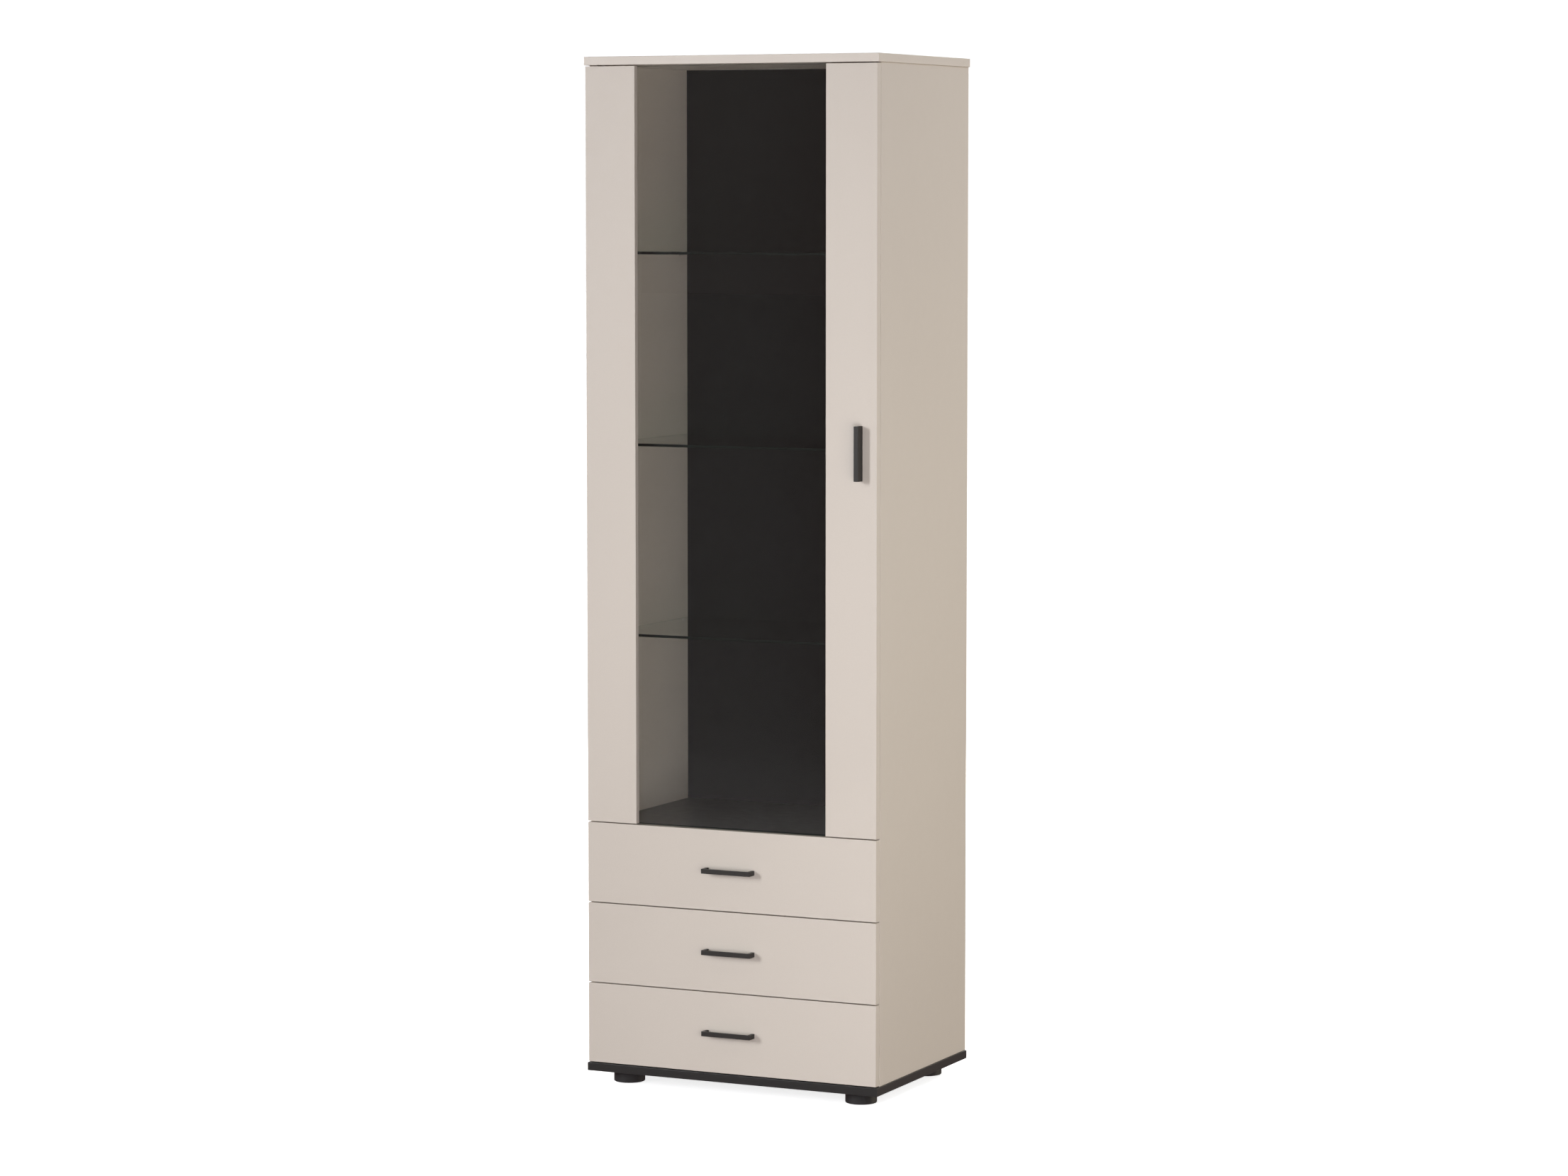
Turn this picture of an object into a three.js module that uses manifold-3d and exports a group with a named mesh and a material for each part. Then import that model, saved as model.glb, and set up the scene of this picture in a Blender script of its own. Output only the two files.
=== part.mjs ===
// China cabinet with one glass door above three drawers.
// Millimetres. +X is the cabinet's right, +Y its rear, +Z up.
// The origin is the centre of the footprint, handles included, on the floor.
import * as THREE from 'three';
import { mergeVertices } from 'three/addons/utils/BufferGeometryUtils.js';
import Module from 'manifold-3d';

// ---------------------------------------------------------------- driving dimensions

const BOARD = 16;                 // laminated board thickness
const TOP_WIDTH = 610;            // top and base boards
const OVERALL_HEIGHT = 1960;
const SIDE_OVERHANG = 3;          // top and base boards stand past the side panels
const FRONT_FACE_Y = -202;        // shared face of door, drawer fronts, top and base boards
const REAR_Y = 223;
const FOOT_HEIGHT = 25;
const FOOT_RADIUS = 30;
const FOOT_INSET = 60;            // foot centre from the base board's edges
const FRONT_STANDOFF = 1.5;       // air between the fronts and the carcass
const FRONT_GAP = 2;              // air between two fronts
const DRAWER_COUNT = 3;
const DRAWER_FRONT_HEIGHT = 153.25;
const FLOOR_TOP_Z = 506.5;        // top of the compartment floor
const SHELF_TOPS = [868, 1231, 1594];
const SHELF_THICKNESS = 5;
const SHELF_SETBACK = 36;         // shelf front edge from the front face
const BACK_THICKNESS = 3;
const BACK_RECESS = 24;           // back panel from the rear
const GROOVE_DEPTH = 6;
const STILE_WIDTH = 104;
const DOOR_GLASS = 4;
const REBATE_WIDTH = 10;

const HANDLE_LENGTH = 102;
const HANDLE_HEIGHT = 9;
const HANDLE_PROJECTION = 21;
const HANDLE_PLATE = 3.5;
const HANDLE_LEG = 6;
const HANDLE_WEB = 2.5;
const DOOR_HANDLE_INSET = 33.25;  // handle centre from the door's free edge

const BOX_SIDE = 12;              // drawer box board thickness
const BOX_HEIGHT = 110;
const BOX_LENGTH = 350;
const BOX_LIFT = 16;              // drawer box above its front's lower edge
const BOTTOM_PANEL = 3;
const BOTTOM_LIFT = 10;           // bottom panel above the box's lower edge
const RUNNER_SPACE = 12.5;        // between drawer box and side panel
const RUNNER_STEEL = 1.25;

const HINGE_HEIGHTS = [620, 1312, 1830];
const CUP_RADIUS = 17.5;
const CUP_DEPTH = 11;
const CUP_FROM_EDGE = 22.5;       // cup centre from the door's edge
const CUP_SEGMENTS = 48;
const PIVOT_FROM_EDGE = 20;       // link pivot from the door's edge
const PIVOT_BEHIND_FACE = 19;     // link pivot from the door's front face
const LINK_LENGTH = 56;

const FIT = 0.25;                 // clearance between pieces that fit into each other
const OVERCUT = 1;                // how far a cutting body passes the face that it opens

// ---------------------------------------------------------------- derived sizes

const HALF_CARCASS = TOP_WIDTH / 2 - SIDE_OVERHANG;
const HALF_INSIDE = HALF_CARCASS - BOARD;
const CARCASS_FRONT_Y = FRONT_FACE_Y + BOARD + FRONT_STANDOFF;
const FRONT_BACK_Y = FRONT_FACE_Y + BOARD;
const BASE_TOP_Z = FOOT_HEIGHT + BOARD;
const TOP_UNDERSIDE_Z = OVERALL_HEIGHT - BOARD;
const BACK_FRONT_Y = REAR_Y - BACK_RECESS - BACK_THICKNESS;
const HALF_FRONT = HALF_CARCASS;
const HALF_GLASS_OPENING = HALF_FRONT - STILE_WIDTH;
const FRONT_PITCH = DRAWER_FRONT_HEIGHT + FRONT_GAP;
const DOOR_BOTTOM_Z = BASE_TOP_Z + FRONT_GAP + DRAWER_COUNT * FRONT_PITCH;
const DOOR_TOP_Z = TOP_UNDERSIDE_Z - FRONT_GAP;
const DOOR_MIDDLE_Z = (DOOR_BOTTOM_Z + DOOR_TOP_Z) / 2;
const HALF_BOX = HALF_INSIDE - RUNNER_SPACE;

// ---------------------------------------------------------------- materials

const finish = (color, roughness, metalness = 0) => ({ color, roughness, metalness });
const GREIGE = finish(0xdbd2c9, 0.55);
const BLACK_BOARD = finish(0x2b2a29, 0.45);
const BLACK_BACK = finish(0x202020, 0.6);
const CLEAR_GLASS = { ...finish(0xcfe0d8, 0.03), transparent: true, opacity: 0.25 };
const BLACK_METAL = finish(0x3c3b3a, 0.45, 0.6);
const BLACK_PLASTIC = finish(0x1d1d1d, 0.5);
const BOX_BOARD = finish(0xe6e2dc, 0.6);
const BOX_BOTTOM = finish(0xd8d3cb, 0.7);
const RUNNER_COAT = finish(0xdedede, 0.4, 0.3);
const NICKEL = finish(0xb9b9b6, 0.3, 0.9);

// ---------------------------------------------------------------- solids

const wasm = await Module();
wasm.setup();

// A closed three.js geometry as a manifold solid.
function toSolid(geometry) {
  const bare = geometry.index ? geometry.toNonIndexed() : geometry.clone();
  bare.deleteAttribute('normal');
  bare.deleteAttribute('uv');
  const merged = mergeVertices(bare, 1e-4);
  return new wasm.Manifold(new wasm.Mesh({
    numProp: 3,
    vertProperties: new Float32Array(merged.attributes.position.array),
    triVerts: new Uint32Array(merged.index.array),
  }));
}

// A manifold solid as a three.js geometry.
function toGeometry(solid) {
  const mesh = solid.getMesh();
  const geometry = new THREE.BufferGeometry();
  geometry.setAttribute('position', new THREE.BufferAttribute(new Float32Array(mesh.vertProperties), 3));
  geometry.setIndex(new THREE.BufferAttribute(new Uint32Array(mesh.triVerts), 1));
  geometry.computeVertexNormals();
  return geometry;
}

const union = (...geometries) => toGeometry(
  geometries.map(toSolid).reduce((whole, piece) => whole.add(piece)));

const cutFrom = (geometry, ...cutters) => toGeometry(
  cutters.map(toSolid).reduce((whole, cutter) => whole.subtract(cutter), toSolid(geometry)));

// A box between two corners.
function block([x0, y0, z0], [x1, y1, z1]) {
  const geometry = new THREE.BoxGeometry(x1 - x0, y1 - y0, z1 - z0);
  return geometry.translate((x0 + x1) / 2, (y0 + y1) / 2, (z0 + z1) / 2);
}

function outline(points) {
  return new THREE.Shape(points.map(([a, b]) => new THREE.Vector2(a, b)));
}

// An outline in the XY plane, drawn anticlockwise and raised from z0 to z1.
function raised(points, z0, z1) {
  const geometry = new THREE.ExtrudeGeometry(outline(points), { depth: z1 - z0, bevelEnabled: false });
  return geometry.translate(0, 0, z0);
}

// An outline in the XZ plane, run along Y from y0 to y1.
function runAlongY(points, y0, y1) {
  const geometry = new THREE.ExtrudeGeometry(outline(points), { depth: y1 - y0, bevelEnabled: false });
  return geometry.rotateX(Math.PI / 2).translate(0, y1, 0);
}

// The same outline on the cabinet's other side, with its direction kept anticlockwise.
const mirrored = (points) => points.map(([a, b]) => [-a, b]).reverse();

const forSide = (side, points) => (side > 0 ? points : mirrored(points));

function named(name, geometry, material) {
  const mesh = new THREE.Mesh(geometry, new THREE.MeshStandardMaterial(material));
  mesh.name = name;
  return mesh;
}

const SIDES = { left: -1, right: 1 };

// ---------------------------------------------------------------- carcass

function carcassBoard(name, z0, material) {
  const half = TOP_WIDTH / 2;
  return named(name, block([-half, FRONT_FACE_Y, z0], [half, REAR_Y, z0 + BOARD]), material);
}

// A side panel with the groove that takes the back panel.
function sidePanel(sideName) {
  const grooveX = HALF_INSIDE + GROOVE_DEPTH;
  const grooveFront = BACK_FRONT_Y - FIT;
  const grooveRear = BACK_FRONT_Y + BACK_THICKNESS + FIT;
  const section = [
    [HALF_INSIDE, CARCASS_FRONT_Y], [HALF_CARCASS, CARCASS_FRONT_Y],
    [HALF_CARCASS, REAR_Y], [HALF_INSIDE, REAR_Y],
    [HALF_INSIDE, grooveRear], [grooveX, grooveRear],
    [grooveX, grooveFront], [HALF_INSIDE, grooveFront],
  ];
  const geometry = raised(forSide(SIDES[sideName], section), BASE_TOP_Z, TOP_UNDERSIDE_Z);
  return named(`side_panel_${sideName}`, geometry, GREIGE);
}

function backPanel() {
  const half = HALF_INSIDE + GROOVE_DEPTH - 2 * FIT;
  return named('back_panel', block(
    [-half, BACK_FRONT_Y, BASE_TOP_Z + FIT],
    [half, BACK_FRONT_Y + BACK_THICKNESS, TOP_UNDERSIDE_Z - FIT]), BLACK_BACK);
}

function compartmentFloor() {
  return named('compartment_floor', block(
    [-HALF_INSIDE, CARCASS_FRONT_Y, FLOOR_TOP_Z - BOARD],
    [HALF_INSIDE, BACK_FRONT_Y - FIT, FLOOR_TOP_Z]), BLACK_BOARD);
}

function glassShelf(name, topZ) {
  const sideGap = 1;
  const rearGap = 2;
  const half = HALF_INSIDE - sideGap;
  return named(name, block(
    [-half, FRONT_FACE_Y + SHELF_SETBACK, topZ - SHELF_THICKNESS],
    [half, BACK_FRONT_Y - rearGap, topZ]), CLEAR_GLASS);
}

// A round foot with a softened lower edge.
function foot(name, x, y) {
  const edge = 2;
  const steps = 4;
  const profile = [new THREE.Vector2(0, 0)];
  for (let step = 0; step <= steps; step += 1) {
    const angle = (step / steps) * Math.PI / 2;
    profile.push(new THREE.Vector2(
      FOOT_RADIUS - edge + edge * Math.sin(angle), edge - edge * Math.cos(angle)));
  }
  profile.push(new THREE.Vector2(FOOT_RADIUS, FOOT_HEIGHT));
  profile.push(new THREE.Vector2(0, FOOT_HEIGHT));
  const mesh = named(name, new THREE.LatheGeometry(profile, 48).rotateX(Math.PI / 2), BLACK_PLASTIC);
  mesh.position.set(x, y, 0);
  return mesh;
}

function feet() {
  const x = TOP_WIDTH / 2 - FOOT_INSET;
  const rows = { front: FRONT_FACE_Y + FOOT_INSET, rear: REAR_Y - FOOT_INSET };
  const group = new THREE.Group();
  for (const [row, y] of Object.entries(rows)) {
    for (const [sideName, side] of Object.entries(SIDES)) {
      group.add(foot(`foot_${row}_${sideName}`, side * x, y));
    }
  }
  return group;
}

// ---------------------------------------------------------------- handle

// A flat bar handle: a front plate on two end legs, closed along one long side by a web.
// It lies along X with its back at y = 0 and the web below. Its front is at -HANDLE_PROJECTION.
function handle(name) {
  const halfLength = HANDLE_LENGTH / 2;
  const halfHeight = HANDLE_HEIGHT / 2;
  const body = block([-halfLength, -HANDLE_PROJECTION, -halfHeight], [halfLength, 0, halfHeight]);
  const pocket = block(
    [-halfLength + HANDLE_LEG, -HANDLE_PROJECTION + HANDLE_PLATE, -halfHeight + HANDLE_WEB],
    [halfLength - HANDLE_LEG, OVERCUT, halfHeight + OVERCUT]);
  return named(name, cutFrom(body, pocket), BLACK_METAL);
}

// ---------------------------------------------------------------- door

// A stile with the rebate that takes the glass.
function stileSection() {
  const innerX = HALF_GLASS_OPENING;
  const rebateX = innerX + REBATE_WIDTH;
  const rebateY = FRONT_BACK_Y - DOOR_GLASS - FIT;
  return [
    [innerX, FRONT_FACE_Y], [HALF_FRONT, FRONT_FACE_Y], [HALF_FRONT, FRONT_BACK_Y],
    [rebateX, FRONT_BACK_Y], [rebateX, rebateY], [innerX, rebateY],
  ];
}

function cupBore(z) {
  const radius = CUP_RADIUS + FIT;
  const depth = CUP_DEPTH + FIT;
  const bore = new THREE.CylinderGeometry(radius, radius, depth + OVERCUT, CUP_SEGMENTS);
  return bore.translate(-HALF_FRONT + CUP_FROM_EDGE, FRONT_BACK_Y - (depth - OVERCUT) / 2, z);
}

function doorStile(sideName) {
  const plain = raised(forSide(SIDES[sideName], stileSection()), DOOR_BOTTOM_Z, DOOR_TOP_Z);
  const geometry = sideName === 'left' ? cutFrom(plain, ...HINGE_HEIGHTS.map(cupBore)) : plain;
  return named(`door_stile_${sideName}`, geometry, GREIGE);
}

function doorGlass() {
  const half = HALF_GLASS_OPENING + REBATE_WIDTH - 2 * FIT;
  return named('door_glass', block(
    [-half, FRONT_BACK_Y - DOOR_GLASS, DOOR_BOTTOM_Z + FIT],
    [half, FRONT_BACK_Y, DOOR_TOP_Z - FIT]), CLEAR_GLASS);
}

function doorHandle() {
  const mesh = handle('door_handle');
  mesh.rotation.y = -Math.PI / 2;
  mesh.position.set(HALF_FRONT - DOOR_HANDLE_INSET, FRONT_FACE_Y, DOOR_MIDDLE_Z);
  return mesh;
}

// ---------------------------------------------------------------- concealed hinges

const LINK_HALF_HEIGHT = 5.5;
const LUG_GAP = 0.5;
const LUG_THICKNESS = 1.75;
const PIVOT_X = -HALF_FRONT + PIVOT_FROM_EDGE;
const PIVOT_Y = FRONT_FACE_Y + PIVOT_BEHIND_FACE;
const BARREL_RADIUS = 2.5;
const PIN_RADIUS = 1.25;
const PIN_SEGMENTS = 24;
const BARREL_SEGMENTS = 32;
const LINK_THICKNESS = 2.5;
const PIN_CLEARANCE = 0.05;
const PIN_BITE = 0.5;             // pin's end inside each lug
const CUP_WALL = 1;
const CUP_RIM = 2;
const CUP_FLANGE = 1;
const EAR_HALF_HEIGHT = 28;
const EAR_TAPER = 5;
const EAR_TOWARDS_EDGE = 2;       // both from the cup's centre
const EAR_TOWARDS_OPENING = 14;
const LUG_CHAMFER = 1.5;
const ARM_SHEET = 1.5;
const ARM_HALF_HEIGHT = 8.5;
const ARM_DEPTH = 24.5;
const ARM_LENGTH = 60;
const ARM_BEHIND_FACE = 22.5;     // arm's nose from the door's front face
const NOSE_RISE = 9;              // slanted cut under the arm's nose
const NOSE_RUN = 14;
const WING_BEHIND_EDGE = 28;      // mounting plate from the side panel's front edge
const WING_LENGTH = 18;
const WING_HALF_HEIGHT = 25;
const WING_TAPER = 4;

// A pan let into the stile, with a mounting flange and two lugs that hold the link's pin.
function hingeCup(name, z) {
  const cupX = -HALF_FRONT + CUP_FROM_EDGE;
  const backY = FRONT_BACK_Y + FIT;
  const insideRadius = CUP_RADIUS - CUP_WALL;
  const pan = new THREE.LatheGeometry([
    [0, 0], [CUP_RADIUS, 0], [CUP_RADIUS, CUP_DEPTH], [CUP_RADIUS + CUP_RIM, CUP_DEPTH],
    [CUP_RADIUS + CUP_RIM, CUP_DEPTH + CUP_FLANGE], [insideRadius, CUP_DEPTH + CUP_FLANGE],
    [insideRadius, CUP_WALL], [0, CUP_WALL],
  ].map(([r, h]) => new THREE.Vector2(r, h)), CUP_SEGMENTS);
  pan.translate(cupX, backY - CUP_DEPTH, 0);
  const earLeft = cupX - EAR_TOWARDS_EDGE;
  const earRight = cupX + EAR_TOWARDS_OPENING;
  const ears = runAlongY([
    [earLeft, -EAR_HALF_HEIGHT + EAR_TAPER], [earLeft + EAR_TAPER, -EAR_HALF_HEIGHT],
    [earRight, -EAR_HALF_HEIGHT], [earRight, EAR_HALF_HEIGHT],
    [earLeft + EAR_TAPER, EAR_HALF_HEIGHT], [earLeft, EAR_HALF_HEIGHT - EAR_TAPER],
  ], backY, backY + CUP_FLANGE);
  const bore = new THREE.CylinderGeometry(
    insideRadius, insideRadius, 2 * (CUP_FLANGE + OVERCUT), CUP_SEGMENTS);
  bore.translate(cupX, backY, 0);
  const plate = cutFrom(ears, bore);
  const lugLow = LINK_HALF_HEIGHT + LUG_GAP;
  const lugHigh = lugLow + LUG_THICKNESS;
  const bridges = [[lugLow, lugHigh], [-lugHigh, -lugLow]].map(([low, high]) => block(
    [cupX - insideRadius, backY, low], [PIVOT_X + BARREL_RADIUS, backY + CUP_FLANGE, high]));
  const chamferStart = BARREL_RADIUS - LUG_CHAMFER;
  const lugs = [lugLow, -lugHigh].map((low) => raised([
    [PIVOT_X - BARREL_RADIUS, backY], [PIVOT_X + BARREL_RADIUS, backY],
    [PIVOT_X + BARREL_RADIUS, PIVOT_Y + chamferStart], [PIVOT_X + chamferStart, PIVOT_Y + BARREL_RADIUS],
    [PIVOT_X - chamferStart, PIVOT_Y + BARREL_RADIUS], [PIVOT_X - BARREL_RADIUS, PIVOT_Y + chamferStart],
  ], low, low + LUG_THICKNESS));
  const pin = new THREE.CylinderGeometry(
    PIN_RADIUS, PIN_RADIUS, 2 * (lugLow + PIN_BITE), PIN_SEGMENTS);
  pin.rotateX(Math.PI / 2).translate(PIVOT_X, PIVOT_Y, 0);
  const mesh = named(name, union(pan, plate, ...bridges, ...lugs, pin), NICKEL);
  mesh.position.z = z;
  return mesh;
}

// A flat link. Its barrel turns on the cup's pin and its free end slides in the arm's channel.
function hingeLink(name, z) {
  const barrel = new THREE.CylinderGeometry(BARREL_RADIUS, BARREL_RADIUS, 2 * LINK_HALF_HEIGHT, BARREL_SEGMENTS);
  barrel.rotateX(Math.PI / 2);
  const bar = block(
    [-LINK_THICKNESS / 2, 0, -LINK_HALF_HEIGHT], [LINK_THICKNESS / 2, LINK_LENGTH, LINK_HALF_HEIGHT]);
  const eye = new THREE.CylinderGeometry(
    PIN_RADIUS + PIN_CLEARANCE, PIN_RADIUS + PIN_CLEARANCE, 2 * (LINK_HALF_HEIGHT + OVERCUT), PIN_SEGMENTS);
  eye.rotateX(Math.PI / 2);
  const mesh = named(name, cutFrom(union(barrel, bar), eye), NICKEL);
  mesh.position.set(PIVOT_X, PIVOT_Y, z);
  return mesh;
}

// A channel on a winged mounting plate, screwed to the side panel's inner face.
function hingeArm(name, z) {
  const sheet = ARM_SHEET;
  const channelHalf = ARM_HALF_HEIGHT;
  const armFront = FRONT_FACE_Y + ARM_BEHIND_FACE;
  const armRear = armFront + ARM_LENGTH;
  const wingFront = CARCASS_FRONT_Y + WING_BEHIND_EDGE;
  const wingRear = wingFront + WING_LENGTH;
  const wingHalf = WING_HALF_HEIGHT;
  const wingTaper = WING_TAPER;
  const wallX = -HALF_INSIDE;
  const channel = runAlongY([
    [wallX, -channelHalf], [wallX + ARM_DEPTH, -channelHalf],
    [wallX + ARM_DEPTH, channelHalf], [wallX, channelHalf],
    [wallX, channelHalf - sheet], [wallX + ARM_DEPTH - sheet, channelHalf - sheet],
    [wallX + ARM_DEPTH - sheet, -channelHalf + sheet], [wallX, -channelHalf + sheet],
  ], armFront, armRear);
  const wings = new THREE.ExtrudeGeometry(outline([
    [wingFront, -wingHalf + wingTaper], [wingFront + wingTaper, -wingHalf],
    [wingRear - wingTaper, -wingHalf], [wingRear, -wingHalf + wingTaper],
    [wingRear, wingHalf - wingTaper], [wingRear - wingTaper, wingHalf],
    [wingFront + wingTaper, wingHalf], [wingFront, wingHalf - wingTaper],
  ]), { depth: ARM_SHEET, bevelEnabled: false });
  wings.applyMatrix4(new THREE.Matrix4().makeBasis(
    new THREE.Vector3(0, 1, 0), new THREE.Vector3(0, 0, 1), new THREE.Vector3(1, 0, 0)));
  wings.translate(wallX, 0, 0);
  const noseCut = raised([
    [wallX - OVERCUT, armFront - OVERCUT], [wallX + NOSE_RISE, armFront - OVERCUT],
    [wallX - OVERCUT, armFront + NOSE_RUN],
  ], -channelHalf - OVERCUT, channelHalf + OVERCUT);
  const mesh = named(name, cutFrom(union(channel, wings), noseCut), NICKEL);
  mesh.position.z = z;
  return mesh;
}

const LEVEL_NAMES = ['lower', 'middle', 'upper'];

const threeHinges = (make, word) => HINGE_HEIGHTS.map((z, index) => make(`${word}_${LEVEL_NAMES[index]}`, z));

// ---------------------------------------------------------------- drawers and runners

const DRAWER_NAMES = ['bottom', 'middle', 'top'];
const BOX_REAR_Y = FRONT_BACK_Y + BOX_LENGTH;
const TRACK_DROP = 5;             // cabinet profile's track below the drawer box
const LIP_HEIGHT = 24;            // drawer profile's lip above the drawer box's lower edge
const LIP_REACH = 9;
const LIP_CLEARANCE = 4;          // cabinet profile's upper edge above the lip
const TRACK_REACH = 10.5;

// A box side with the groove that takes the bottom panel.
function boxSideSection(z0) {
  const innerX = HALF_BOX - BOX_SIDE;
  const grooveX = innerX + GROOVE_DEPTH;
  const grooveLow = z0 + BOTTOM_LIFT - FIT;
  const grooveHigh = z0 + BOTTOM_LIFT + BOTTOM_PANEL + FIT;
  return [
    [innerX, z0], [HALF_BOX, z0], [HALF_BOX, z0 + BOX_HEIGHT], [innerX, z0 + BOX_HEIGHT],
    [innerX, grooveHigh], [grooveX, grooveHigh], [grooveX, grooveLow], [innerX, grooveLow],
  ];
}

// A bent profile under and beside the drawer box, with a lip that rides on the cabinet's roller.
function drawerRunnerSection(z0) {
  const webInner = HALF_BOX + FIT;
  const webOuter = webInner + RUNNER_STEEL;
  const underside = z0 - FIT;
  const lipTop = z0 + LIP_HEIGHT;
  return [
    [HALF_BOX - BOX_SIDE, underside - RUNNER_STEEL], [webOuter, underside - RUNNER_STEEL],
    [webOuter, lipTop - RUNNER_STEEL], [webInner + LIP_REACH, lipTop - RUNNER_STEEL],
    [webInner + LIP_REACH, lipTop], [webInner, lipTop],
    [webInner, underside], [HALF_BOX - BOX_SIDE, underside],
  ];
}

// A bent profile screwed to the side panel, with a track that carries the drawer's roller.
function cabinetRunnerSection(z0) {
  const webInner = HALF_INSIDE - RUNNER_STEEL;
  const trackLow = z0 - TRACK_DROP;
  const webTop = z0 + LIP_HEIGHT + LIP_CLEARANCE;
  const trackInner = HALF_INSIDE - TRACK_REACH;
  return [
    [trackInner, trackLow], [HALF_INSIDE, trackLow], [HALF_INSIDE, webTop],
    [trackInner + RUNNER_STEEL, webTop], [trackInner + RUNNER_STEEL, webTop - RUNNER_STEEL],
    [webInner, webTop - RUNNER_STEEL],
    [webInner, trackLow + RUNNER_STEEL], [trackInner, trackLow + RUNNER_STEEL],
  ];
}

const boxBottomZ = (index) => BASE_TOP_Z + FRONT_GAP + index * FRONT_PITCH + BOX_LIFT;

function cabinetRunners() {
  const group = new THREE.Group();
  DRAWER_NAMES.forEach((drawerName, index) => {
    for (const [sideName, side] of Object.entries(SIDES)) {
      const section = forSide(side, cabinetRunnerSection(boxBottomZ(index)));
      const geometry = runAlongY(section, CARCASS_FRONT_Y + 2, CARCASS_FRONT_Y + 2 + BOX_LENGTH);
      group.add(named(`runner_${drawerName}_${sideName}`, geometry, RUNNER_COAT));
    }
  });
  return group;
}

function drawer(index) {
  const word = DRAWER_NAMES[index];
  const frontZ = BASE_TOP_Z + FRONT_GAP + index * FRONT_PITCH;
  const z0 = boxBottomZ(index);
  const innerX = HALF_BOX - BOX_SIDE;
  const panelTop = z0 + BOTTOM_LIFT + BOTTOM_PANEL;
  const group = new THREE.Group();
  group.add(named(`drawer_${word}_front`, block(
    [-HALF_FRONT, FRONT_FACE_Y, frontZ],
    [HALF_FRONT, FRONT_BACK_Y, frontZ + DRAWER_FRONT_HEIGHT]), GREIGE));
  const pull = handle(`drawer_${word}_handle`);
  pull.position.set(0, FRONT_FACE_Y, frontZ + DRAWER_FRONT_HEIGHT / 2);
  group.add(pull);
  for (const [sideName, side] of Object.entries(SIDES)) {
    group.add(named(`drawer_${word}_side_${sideName}`,
      runAlongY(forSide(side, boxSideSection(z0)), FRONT_BACK_Y, BOX_REAR_Y), BOX_BOARD));
    group.add(named(`drawer_${word}_runner_${sideName}`,
      runAlongY(forSide(side, drawerRunnerSection(z0)), FRONT_BACK_Y + 1, BOX_REAR_Y), RUNNER_COAT));
  }
  group.add(named(`drawer_${word}_back`, block(
    [-innerX, BOX_REAR_Y - BOX_SIDE, panelTop + FIT],
    [innerX, BOX_REAR_Y, z0 + BOX_HEIGHT]), BOX_BOARD));
  const panelHalf = innerX + GROOVE_DEPTH - 2 * FIT;
  group.add(named(`drawer_${word}_bottom`, block(
    [-panelHalf, FRONT_BACK_Y + FIT, panelTop - BOTTOM_PANEL],
    [panelHalf, BOX_REAR_Y - FIT, panelTop]), BOX_BOTTOM));
  return group;
}

// ---------------------------------------------------------------- the cabinet

const cabinet = new THREE.Group();
cabinet.add(
  carcassBoard('base_board', FOOT_HEIGHT, BLACK_BOARD),
  carcassBoard('top_board', TOP_UNDERSIDE_Z, GREIGE),
  sidePanel('left'),
  sidePanel('right'),
  backPanel(),
  compartmentFloor(),
  feet(),
  ...SHELF_TOPS.map((topZ, index) => glassShelf(`glass_shelf_${LEVEL_NAMES[index]}`, topZ)),
  cabinetRunners(),
  ...threeHinges(hingeArm, 'hinge_arm'),
);

const door = new THREE.Group();
door.add(
  doorStile('left'),
  doorStile('right'),
  doorGlass(),
  doorHandle(),
  ...threeHinges(hingeCup, 'hinge_cup'),
);

const links = new THREE.Group();
links.add(...threeHinges(hingeLink, 'hinge_link'));

const object = new THREE.Group();
object.add(cabinet, door, links, ...DRAWER_NAMES.map((word, index) => drawer(index)));

export default object;
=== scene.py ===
"""Looks of the china cabinet: finishes, rounded edges, small fittings, light and camera.

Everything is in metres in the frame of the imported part: +X right, +Y rear, +Z up.
"""
import math

import bmesh
import bpy
from mathutils import Matrix, Vector

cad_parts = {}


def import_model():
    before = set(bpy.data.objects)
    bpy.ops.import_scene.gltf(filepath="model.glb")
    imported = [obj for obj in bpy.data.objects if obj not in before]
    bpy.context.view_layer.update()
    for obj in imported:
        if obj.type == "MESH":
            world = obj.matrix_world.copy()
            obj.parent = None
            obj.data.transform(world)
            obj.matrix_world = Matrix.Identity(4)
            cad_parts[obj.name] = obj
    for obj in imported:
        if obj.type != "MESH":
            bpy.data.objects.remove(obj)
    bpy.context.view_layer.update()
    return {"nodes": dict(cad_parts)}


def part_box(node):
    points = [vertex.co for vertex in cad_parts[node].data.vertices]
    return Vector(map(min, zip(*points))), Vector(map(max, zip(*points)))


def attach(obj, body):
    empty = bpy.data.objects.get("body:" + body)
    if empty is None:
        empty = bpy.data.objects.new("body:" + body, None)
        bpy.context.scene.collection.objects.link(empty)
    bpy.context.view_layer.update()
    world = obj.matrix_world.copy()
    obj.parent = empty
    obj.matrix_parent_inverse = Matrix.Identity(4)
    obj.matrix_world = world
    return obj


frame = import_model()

NODES = frame["nodes"]
MM = 0.001
AXIS_Y = 1
AXIS_Z = 2
SIDES = {"left": -1, "right": 1}
DRAWERS = ("bottom", "middle", "top")
LEVELS = ("lower", "middle", "upper")


# ---------------------------------------------------------------- shader helpers

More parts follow.
